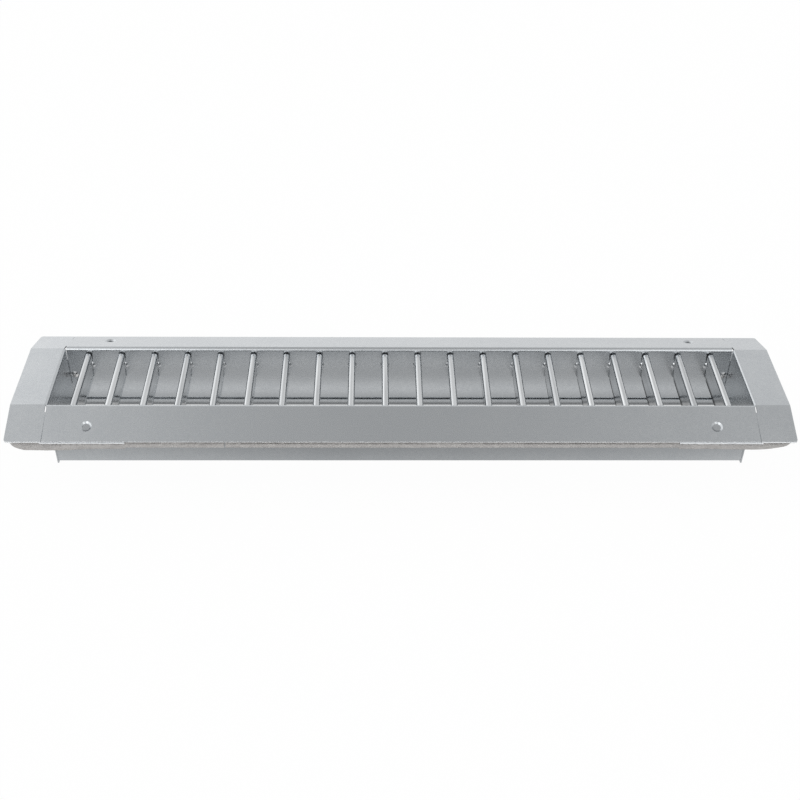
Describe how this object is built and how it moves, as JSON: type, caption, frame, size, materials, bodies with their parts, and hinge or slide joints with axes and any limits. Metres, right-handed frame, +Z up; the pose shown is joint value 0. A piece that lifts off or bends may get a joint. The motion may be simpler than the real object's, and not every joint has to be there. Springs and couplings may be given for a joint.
{
  "type": "hvac grille",
  "caption": "Long galvanised ventilation grille for a round duct, with sloping screw flanges, a deep neck, a foam seal and upright tilting vanes.",
  "frame": {"origin": "middle of the grille in plan, at the lower edge of the neck", "axes": "+X along the grille, +Y across it, +Z up through the neck towards the face"},
  "size_m": [0.56, 0.125, 0.0554],
  "materials": {
    "galvanised_sheet": "galvanised sheet steel with a fine mottled grain",
    "vane_sheet": "thin galvanised strip, roll-formed",
    "foam_seal": "open-cell sealing foam with a rough edge",
    "bush_steel": "bright zinc-plated steel",
    "pin_steel": "bright zinc-plated steel",
    "rivet_metal": "plain aluminium"
  },
  "bodies": {
    "frame": {"front_side_panel": "galvanised_sheet", "rear_side_panel": "galvanised_sheet", "left_end_panel": "galvanised_sheet", "right_end_panel": "galvanised_sheet", "sealing_gasket": "foam_seal", "pivot_bushes": "bush_steel", "corner_rivets": "rivet_metal"},
    "vane_01": {"blade_01": "vane_sheet", "blade_pins_01": "pin_steel"},
    "vane_02": {"blade_02": "vane_sheet", "blade_pins_02": "pin_steel"},
    "vane_03": {"blade_03": "vane_sheet", "blade_pins_03": "pin_steel"},
    "vane_04": {"blade_04": "vane_sheet", "blade_pins_04": "pin_steel"},
    "vane_05": {"blade_05": "vane_sheet", "blade_pins_05": "pin_steel"},
    "vane_06": {"blade_06": "vane_sheet", "blade_pins_06": "pin_steel"},
    "vane_07": {"blade_07": "vane_sheet", "blade_pins_07": "pin_steel"},
    "vane_08": {"blade_08": "vane_sheet", "blade_pins_08": "pin_steel"},
    "vane_09": {"blade_09": "vane_sheet", "blade_pins_09": "pin_steel"},
    "vane_10": {"blade_10": "vane_sheet", "blade_pins_10": "pin_steel"},
    "vane_11": {"blade_11": "vane_sheet", "blade_pins_11": "pin_steel"},
    "vane_12": {"blade_12": "vane_sheet", "blade_pins_12": "pin_steel"},
    "vane_13": {"blade_13": "vane_sheet", "blade_pins_13": "pin_steel"},
    "vane_14": {"blade_14": "vane_sheet", "blade_pins_14": "pin_steel"},
    "vane_15": {"blade_15": "vane_sheet", "blade_pins_15": "pin_steel"},
    "vane_16": {"blade_16": "vane_sheet", "blade_pins_16": "pin_steel"},
    "vane_17": {"blade_17": "vane_sheet", "blade_pins_17": "pin_steel"},
    "vane_18": {"blade_18": "vane_sheet", "blade_pins_18": "pin_steel"},
    "vane_19": {"blade_19": "vane_sheet", "blade_pins_19": "pin_steel"},
    "vane_20": {"blade_20": "vane_sheet", "blade_pins_20": "pin_steel"}
  },
  "joints": [
    {"name": "vane_tilt_01", "type": "hinge", "parent": "frame", "child": "vane_01", "pos_m": [-0.2375, 0, 0.0395], "axis": [0, 1, 0], "range_deg": [-45, 45]},
    {"name": "vane_tilt_02", "type": "hinge", "parent": "frame", "child": "vane_02", "pos_m": [-0.2125, 0, 0.0395], "axis": [0, 1, 0], "range_deg": [-45, 45]},
    {"name": "vane_tilt_03", "type": "hinge", "parent": "frame", "child": "vane_03", "pos_m": [-0.1875, 0, 0.0395], "axis": [0, 1, 0], "range_deg": [-45, 45]},
    {"name": "vane_tilt_04", "type": "hinge", "parent": "frame", "child": "vane_04", "pos_m": [-0.1625, 0, 0.0395], "axis": [0, 1, 0], "range_deg": [-45, 45]},
    {"name": "vane_tilt_05", "type": "hinge", "parent": "frame", "child": "vane_05", "pos_m": [-0.1375, 0, 0.0395], "axis": [0, 1, 0], "range_deg": [-45, 45]},
    {"name": "vane_tilt_06", "type": "hinge", "parent": "frame", "child": "vane_06", "pos_m": [-0.1125, 0, 0.0395], "axis": [0, 1, 0], "range_deg": [-45, 45]},
    {"name": "vane_tilt_07", "type": "hinge", "parent": "frame", "child": "vane_07", "pos_m": [-0.0875, 0, 0.0395], "axis": [0, 1, 0], "range_deg": [-45, 45]},
    {"name": "vane_tilt_08", "type": "hinge", "parent": "frame", "child": "vane_08", "pos_m": [-0.0625, 0, 0.0395], "axis": [0, 1, 0], "range_deg": [-45, 45]},
    {"name": "vane_tilt_09", "type": "hinge", "parent": "frame", "child": "vane_09", "pos_m": [-0.0375, 0, 0.0395], "axis": [0, 1, 0], "range_deg": [-45, 45]},
    {"name": "vane_tilt_10", "type": "hinge", "parent": "frame", "child": "vane_10", "pos_m": [-0.0125, 0, 0.0395], "axis": [0, 1, 0], "range_deg": [-45, 45]},
    {"name": "vane_tilt_11", "type": "hinge", "parent": "frame", "child": "vane_11", "pos_m": [0.0125, 0, 0.0395], "axis": [0, 1, 0], "range_deg": [-45, 45]},
    {"name": "vane_tilt_12", "type": "hinge", "parent": "frame", "child": "vane_12", "pos_m": [0.0375, 0, 0.0395], "axis": [0, 1, 0], "range_deg": [-45, 45]},
    {"name": "vane_tilt_13", "type": "hinge", "parent": "frame", "child": "vane_13", "pos_m": [0.0625, 0, 0.0395], "axis": [0, 1, 0], "range_deg": [-45, 45]},
    {"name": "vane_tilt_14", "type": "hinge", "parent": "frame", "child": "vane_14", "pos_m": [0.0875, 0, 0.0395], "axis": [0, 1, 0], "range_deg": [-45, 45]},
    {"name": "vane_tilt_15", "type": "hinge", "parent": "frame", "child": "vane_15", "pos_m": [0.1125, 0, 0.0395], "axis": [0, 1, 0], "range_deg": [-45, 45]},
    {"name": "vane_tilt_16", "type": "hinge", "parent": "frame", "child": "vane_16", "pos_m": [0.1375, 0, 0.0395], "axis": [0, 1, 0], "range_deg": [-45, 45]},
    {"name": "vane_tilt_17", "type": "hinge", "parent": "frame", "child": "vane_17", "pos_m": [0.1625, 0, 0.0395], "axis": [0, 1, 0], "range_deg": [-45, 45]},
    {"name": "vane_tilt_18", "type": "hinge", "parent": "frame", "child": "vane_18", "pos_m": [0.1875, 0, 0.0395], "axis": [0, 1, 0], "range_deg": [-45, 45]},
    {"name": "vane_tilt_19", "type": "hinge", "parent": "frame", "child": "vane_19", "pos_m": [0.2125, 0, 0.0395], "axis": [0, 1, 0], "range_deg": [-45, 45]},
    {"name": "vane_tilt_20", "type": "hinge", "parent": "frame", "child": "vane_20", "pos_m": [0.2375, 0, 0.0395], "axis": [0, 1, 0], "range_deg": [-45, 45]}
  ]
}
